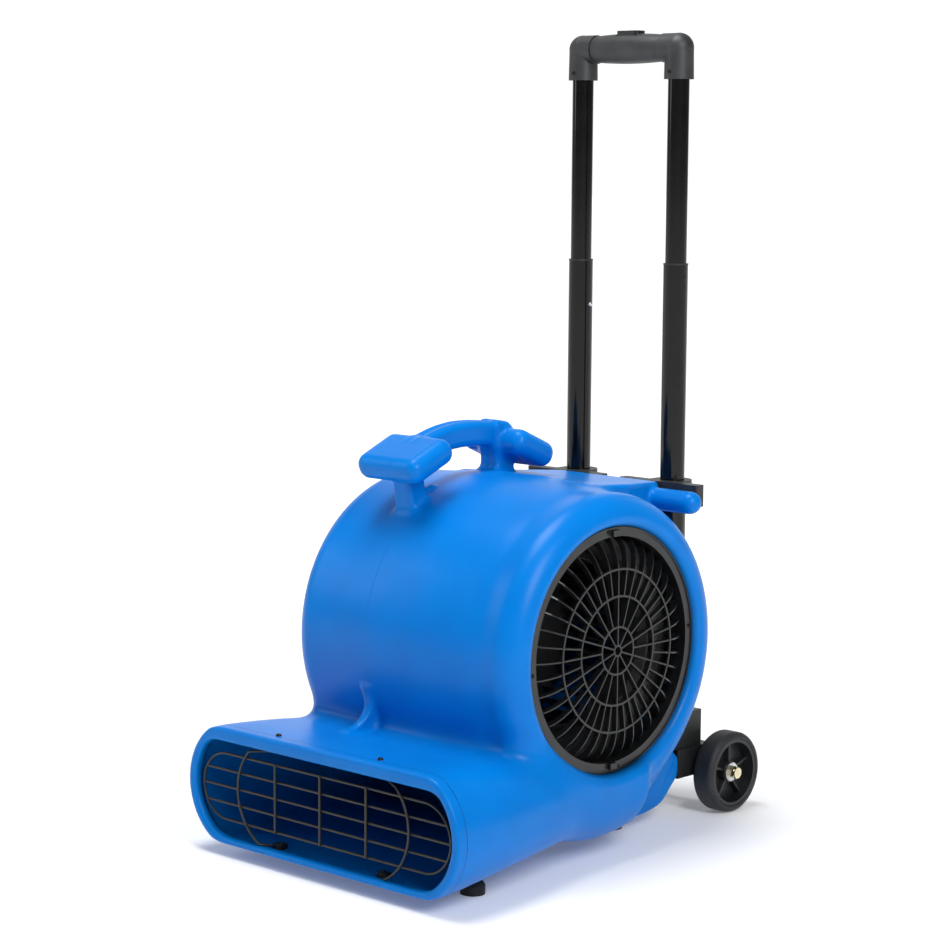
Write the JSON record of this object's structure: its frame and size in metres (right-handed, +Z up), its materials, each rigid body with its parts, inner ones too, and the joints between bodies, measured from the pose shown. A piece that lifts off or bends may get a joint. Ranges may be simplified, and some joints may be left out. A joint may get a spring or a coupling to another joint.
{
  "type": "air mover",
  "caption": "portable floor-drying blower: hollow moulded snail housing with side inlets, flared slot outlet, carry handle and a telescoping trolley on wheels",
  "frame": {"origin": "on the floor, under the centre of the machine's outline seen from above", "axes": "+Z up, the outlet faces -Y, the trolley stands at +Y, +X is the machine's left seen from the outlet side"},
  "size_m": [0.4348, 0.6318, 0.9555],
  "materials": {
    "shell": "satin",
    "black_plastic": "satin",
    "grille_plastic": "satin",
    "coated_wire": "satin",
    "black_screw": "satin",
    "zinc_steel": "bright",
    "galvanised": "matte",
    "motor_paint": "matte",
    "cast_alloy": "matte",
    "windings": "matte",
    "wheel_plastic": "satin",
    "fan_plastic": "satin",
    "capacitor_case": "satin",
    "knob_plastic": "gloss",
    "foot_rubber": "matte",
    "tyre_rubber": "matte",
    "black_tube": "gloss",
    "grey_plastic": "satin",
    "guide_plastic": "satin",
    "grip_plastic": "matte",
    "button_plastic": "gloss"
  },
  "bodies": {
    "chassis": {"housing": "shell", "inlet_grille_right": "grille_plastic", "inlet_grille_left": "grille_plastic", "inlet_grille_screws": "zinc_steel", "outlet_grille": "coated_wire", "outlet_grille_clamps": "black_plastic", "outlet_grille_screws": "black_screw", "motor_case": "motor_paint", "motor_stator": "windings", "motor_cap_inner": "cast_alloy", "motor_cap_outer": "cast_alloy", "motor_bearings": "zinc_steel", "motor_mount": "galvanised", "motor_mount_screws": "zinc_steel", "inlet_cones": "black_plastic", "inlet_cone_screws": "zinc_steel", "capacitor": "capacitor_case", "capacitor_strap": "galvanised", "switch_plate": "black_plastic", "switch_plate_screws": "zinc_steel", "speed_switch": "grey_plastic", "cord_gland": "black_plastic", "rubber_feet": "foot_rubber", "foot_screws": "zinc_steel", "outer_tubes": "black_tube", "outer_tube_bushes": "black_plastic", "upper_brackets": "grey_plastic", "upper_bracket_screws": "zinc_steel", "axle_brackets": "black_plastic", "axle_bracket_screws": "zinc_steel", "axle": "zinc_steel", "axle_washers": "zinc_steel", "axle_cap_nuts": "zinc_steel"},
    "rotor": {"motor_core": "windings", "motor_shaft": "zinc_steel", "fan_wheel": "fan_plastic", "fan_hub": "cast_alloy"},
    "knob": {"speed_knob": "knob_plastic"},
    "wheel_left": {"wheel_hub_left": "wheel_plastic", "wheel_tyre_left": "tyre_rubber"},
    "wheel_right": {"wheel_hub_right": "wheel_plastic", "wheel_tyre_right": "tyre_rubber"},
    "middle_stage": {"middle_tubes": "black_tube", "middle_tube_bushes": "black_plastic", "middle_tube_guides": "guide_plastic", "lock_tips": "zinc_steel"},
    "inner_stage": {"inner_tubes": "black_tube", "inner_tube_guides": "guide_plastic", "grip_elbow_left": "grip_plastic", "grip_elbow_right": "grip_plastic", "grip_bar": "grip_plastic", "elbow_screws": "zinc_steel", "release_spring": "zinc_steel"},
    "release": {"release_button": "button_plastic", "release_yoke": "guide_plastic", "release_rods": "zinc_steel"},
    "pin_left": {"lock_pin_left": "zinc_steel"},
    "pin_right": {"lock_pin_right": "zinc_steel"}
  },
  "joints": [
    {"name": "fan_spin", "type": "hinge", "parent": "chassis", "child": "rotor", "pos_m": [0, -0.0109, 0.2465], "axis": [1, 0, 0], "continuous": true},
    {"name": "speed_knob_turn", "type": "hinge", "parent": "chassis", "child": "knob", "pos_m": [0.01, 0.1806, 0.3385], "axis": [0, 1, 0], "range_deg": [0, 270]},
    {"name": "wheel_left_spin", "type": "hinge", "parent": "chassis", "child": "wheel_left", "pos_m": [-0.1202, 0.2659, 0.05], "axis": [1, 0, 0], "continuous": true},
    {"name": "wheel_right_spin", "type": "hinge", "parent": "chassis", "child": "wheel_right", "pos_m": [0.1202, 0.2659, 0.05], "axis": [1, 0, 0], "continuous": true},
    {"name": "middle_stage_slide", "type": "slide", "parent": "chassis", "child": "middle_stage", "axis": [0, 0, 1], "range_m": [-0.2, 0]},
    {"name": "inner_stage_slide", "type": "slide", "parent": "middle_stage", "child": "inner_stage", "axis": [0, 0, 1], "range_m": [-0.21, 0]},
    {"name": "release_press", "type": "slide", "parent": "inner_stage", "child": "release", "axis": [0, 0, 1], "range_m": [-0.006, 0], "stiffness_N_per_m": 1200, "springref_m": 0.004, "deforming": ["release_spring"]},
    {"name": "lock_pin_left_slide", "type": "slide", "parent": "inner_stage", "child": "pin_left", "axis": [-1, 0, 0], "range_m": [0, 0.003]},
    {"name": "lock_pin_right_slide", "type": "slide", "parent": "inner_stage", "child": "pin_right", "axis": [1, 0, 0], "range_m": [0, 0.003]}
  ],
  "couplings": [
    {"joint": "lock_pin_left_slide", "follows": "release_press", "ratio": -0.5},
    {"joint": "lock_pin_right_slide", "follows": "release_press", "ratio": -0.5}
  ]
}
